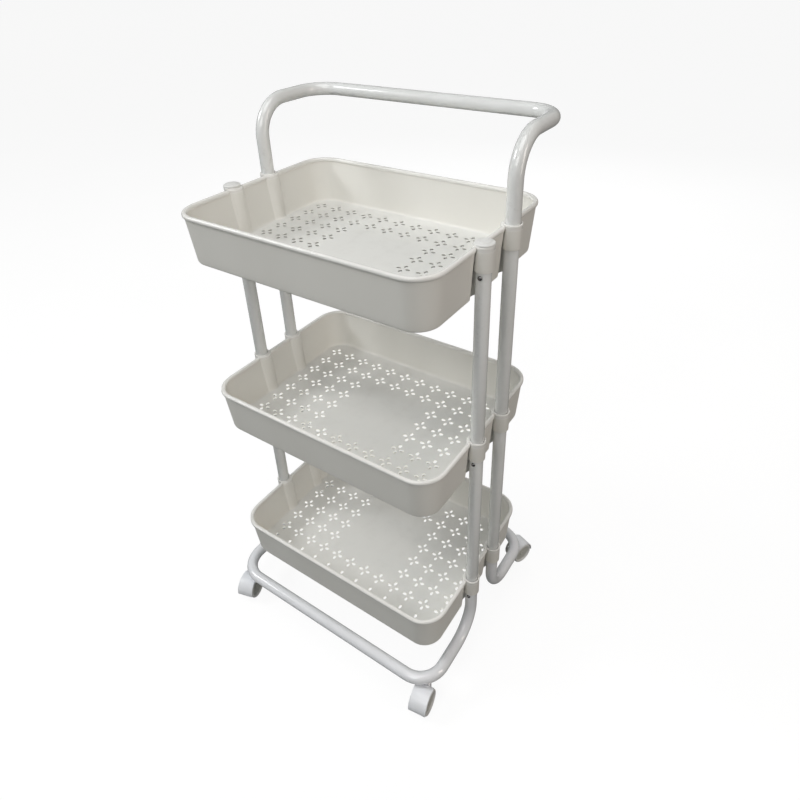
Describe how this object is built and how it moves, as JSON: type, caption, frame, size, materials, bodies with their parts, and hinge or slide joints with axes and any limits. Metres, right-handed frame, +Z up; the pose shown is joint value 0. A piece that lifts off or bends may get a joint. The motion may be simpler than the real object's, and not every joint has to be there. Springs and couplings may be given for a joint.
{
  "type": "rolling utility cart",
  "caption": "Tall narrow storage cart with stacked perforated trays on a tubular steel frame, a bent push handle and swivel casters.",
  "frame": {"origin": "on the floor under the middle of the cart, at the bottom centre of its bounding box", "axes": "+Z up; +X along the long side of the trays, towards the right when facing the front; +Y towards the handle side, so the front is -Y"},
  "size_m": [0.4354, 0.3916, 0.856],
  "materials": {
    "tray_plastic": "satin moulded plastic, warm off-white",
    "white_paint": "glossy white powder coat",
    "cap_plastic": "glossy white",
    "polished_steel": "bright plated steel",
    "hood_plastic": "glossy cool white",
    "wheel_plastic": "hard grey wheel plastic"
  },
  "bodies": {
    "frame": {"tray_bottom": "tray_plastic", "tray_middle": "tray_plastic", "tray_top": "tray_plastic", "base_tube_front": "white_paint", "base_tube_rear": "white_paint", "handle": "white_paint", "pole_lower_front_left": "white_paint", "pole_lower_front_right": "white_paint", "pole_lower_rear_left": "white_paint", "pole_lower_rear_right": "white_paint", "pole_upper_front_left": "white_paint", "pole_upper_front_right": "white_paint", "pole_upper_rear_left": "white_paint", "pole_upper_rear_right": "white_paint", "pole_cap_front_left": "cap_plastic", "pole_cap_front_right": "cap_plastic", "rivet_nut_front_left": "polished_steel", "rivet_nut_front_right": "polished_steel", "rivet_nut_rear_left": "polished_steel", "rivet_nut_rear_right": "polished_steel", "caster_stem_front_left": "polished_steel", "caster_stem_front_right": "polished_steel", "caster_stem_rear_left": "polished_steel", "caster_stem_rear_right": "polished_steel"},
    "caster_front_left": {"caster_hood_front_left": "hood_plastic", "caster_axle_front_left": "polished_steel"},
    "wheel_a_front_left": {"caster_wheel_a_front_left": "wheel_plastic"},
    "wheel_b_front_left": {"caster_wheel_b_front_left": "wheel_plastic"},
    "caster_front_right": {"caster_hood_front_right": "hood_plastic", "caster_axle_front_right": "polished_steel"},
    "wheel_a_front_right": {"caster_wheel_a_front_right": "wheel_plastic"},
    "wheel_b_front_right": {"caster_wheel_b_front_right": "wheel_plastic"},
    "caster_rear_left": {"caster_hood_rear_left": "hood_plastic", "caster_axle_rear_left": "polished_steel"},
    "wheel_a_rear_left": {"caster_wheel_a_rear_left": "wheel_plastic"},
    "wheel_b_rear_left": {"caster_wheel_b_rear_left": "wheel_plastic"},
    "caster_rear_right": {"caster_hood_rear_right": "hood_plastic", "caster_axle_rear_right": "polished_steel"},
    "wheel_a_rear_right": {"caster_wheel_a_rear_right": "wheel_plastic"},
    "wheel_b_rear_right": {"caster_wheel_b_rear_right": "wheel_plastic"},
    "button_bottom_front_left": {"snap_button_bottom_front_left": "polished_steel"},
    "button_bottom_front_right": {"snap_button_bottom_front_right": "polished_steel"},
    "button_bottom_rear_left": {"snap_button_bottom_rear_left": "polished_steel"},
    "button_bottom_rear_right": {"snap_button_bottom_rear_right": "polished_steel"},
    "button_middle_front_left": {"snap_button_middle_front_left": "polished_steel"},
    "button_middle_front_right": {"snap_button_middle_front_right": "polished_steel"},
    "button_middle_rear_left": {"snap_button_middle_rear_left": "polished_steel"},
    "button_middle_rear_right": {"snap_button_middle_rear_right": "polished_steel"},
    "button_top_front_left": {"snap_button_top_front_left": "polished_steel"},
    "button_top_front_right": {"snap_button_top_front_right": "polished_steel"},
    "button_top_rear_left": {"snap_button_top_rear_left": "polished_steel"},
    "button_top_rear_right": {"snap_button_top_rear_right": "polished_steel"}
  },
  "joints": [
    {"name": "caster_swivel_front_left", "type": "hinge", "parent": "frame", "child": "caster_front_left", "pos_m": [-0.1907, -0.1547, 0.04], "axis": [0, 0, 1], "continuous": true},
    {"name": "wheel_spin_a_front_left", "type": "hinge", "parent": "caster_front_left", "child": "wheel_a_front_left", "pos_m": [-0.18643, -0.1696, 0.02], "axis": [0.9613, 0.2756, 0], "continuous": true},
    {"name": "wheel_spin_b_front_left", "type": "hinge", "parent": "caster_front_left", "child": "wheel_b_front_left", "pos_m": [-0.18643, -0.1696, 0.02], "axis": [0.9613, 0.2756, 0], "continuous": true},
    {"name": "caster_swivel_front_right", "type": "hinge", "parent": "frame", "child": "caster_front_right", "pos_m": [0.1907, -0.1547, 0.04], "axis": [0, 0, 1], "continuous": true},
    {"name": "wheel_spin_a_front_right", "type": "hinge", "parent": "caster_front_right", "child": "wheel_a_front_right", "pos_m": [0.19286, -0.17005, 0.02], "axis": [0.9903, 0.1392, 0], "continuous": true},
    {"name": "wheel_spin_b_front_right", "type": "hinge", "parent": "caster_front_right", "child": "wheel_b_front_right", "pos_m": [0.19286, -0.17005, 0.02], "axis": [0.9903, 0.1392, 0], "continuous": true},
    {"name": "caster_swivel_rear_left", "type": "hinge", "parent": "frame", "child": "caster_rear_left", "pos_m": [-0.1907, 0.1547, 0.04], "axis": [0, 0, 1], "continuous": true},
    {"name": "wheel_spin_a_rear_left", "type": "hinge", "parent": "caster_rear_left", "child": "wheel_a_rear_left", "pos_m": [-0.196, 0.16926, 0.02], "axis": [-0.9397, -0.342, 0], "continuous": true},
    {"name": "wheel_spin_b_rear_left", "type": "hinge", "parent": "caster_rear_left", "child": "wheel_b_rear_left", "pos_m": [-0.196, 0.16926, 0.02], "axis": [-0.9397, -0.342, 0], "continuous": true},
    {"name": "caster_swivel_rear_right", "type": "hinge", "parent": "frame", "child": "caster_rear_right", "pos_m": [0.1907, 0.1547, 0.04], "axis": [0, 0, 1], "continuous": true},
    {"name": "wheel_spin_a_rear_right", "type": "hinge", "parent": "caster_rear_right", "child": "wheel_a_rear_right", "pos_m": [0.196, 0.16926, 0.02], "axis": [-0.9397, 0.342, 0], "continuous": true},
    {"name": "wheel_spin_b_rear_right", "type": "hinge", "parent": "caster_rear_right", "child": "wheel_b_rear_right", "pos_m": [0.196, 0.16926, 0.02], "axis": [-0.9397, 0.342, 0], "continuous": true},
    {"name": "button_press_bottom_front_left", "type": "slide", "parent": "frame", "child": "button_bottom_front_left", "axis": [0, 1, 0], "range_m": [0, 0.003], "stiffness_N_per_m": 200},
    {"name": "button_press_bottom_front_right", "type": "slide", "parent": "frame", "child": "button_bottom_front_right", "axis": [0, 1, 0], "range_m": [0, 0.003], "stiffness_N_per_m": 200},
    {"name": "button_press_bottom_rear_left", "type": "slide", "parent": "frame", "child": "button_bottom_rear_left", "axis": [0, -1, 0], "range_m": [0, 0.003], "stiffness_N_per_m": 200},
    {"name": "button_press_bottom_rear_right", "type": "slide", "parent": "frame", "child": "button_bottom_rear_right", "axis": [0, -1, 0], "range_m": [0, 0.003], "stiffness_N_per_m": 200},
    {"name": "button_press_middle_front_left", "type": "slide", "parent": "frame", "child": "button_middle_front_left", "axis": [0, 1, 0], "range_m": [0, 0.003], "stiffness_N_per_m": 200},
    {"name": "button_press_middle_front_right", "type": "slide", "parent": "frame", "child": "button_middle_front_right", "axis": [0, 1, 0], "range_m": [0, 0.003], "stiffness_N_per_m": 200},
    {"name": "button_press_middle_rear_left", "type": "slide", "parent": "frame", "child": "button_middle_rear_left", "axis": [0, -1, 0], "range_m": [0, 0.003], "stiffness_N_per_m": 200},
    {"name": "button_press_middle_rear_right", "type": "slide", "parent": "frame", "child": "button_middle_rear_right", "axis": [0, -1, 0], "range_m": [0, 0.003], "stiffness_N_per_m": 200},
    {"name": "button_press_top_front_left", "type": "slide", "parent": "frame", "child": "button_top_front_left", "axis": [0, 1, 0], "range_m": [0, 0.003], "stiffness_N_per_m": 200},
    {"name": "button_press_top_front_right", "type": "slide", "parent": "frame", "child": "button_top_front_right", "axis": [0, 1, 0], "range_m": [0, 0.003], "stiffness_N_per_m": 200},
    {"name": "button_press_top_rear_left", "type": "slide", "parent": "frame", "child": "button_top_rear_left", "axis": [0, -1, 0], "range_m": [0, 0.003], "stiffness_N_per_m": 200},
    {"name": "button_press_top_rear_right", "type": "slide", "parent": "frame", "child": "button_top_rear_right", "axis": [0, -1, 0], "range_m": [0, 0.003], "stiffness_N_per_m": 200}
  ]
}
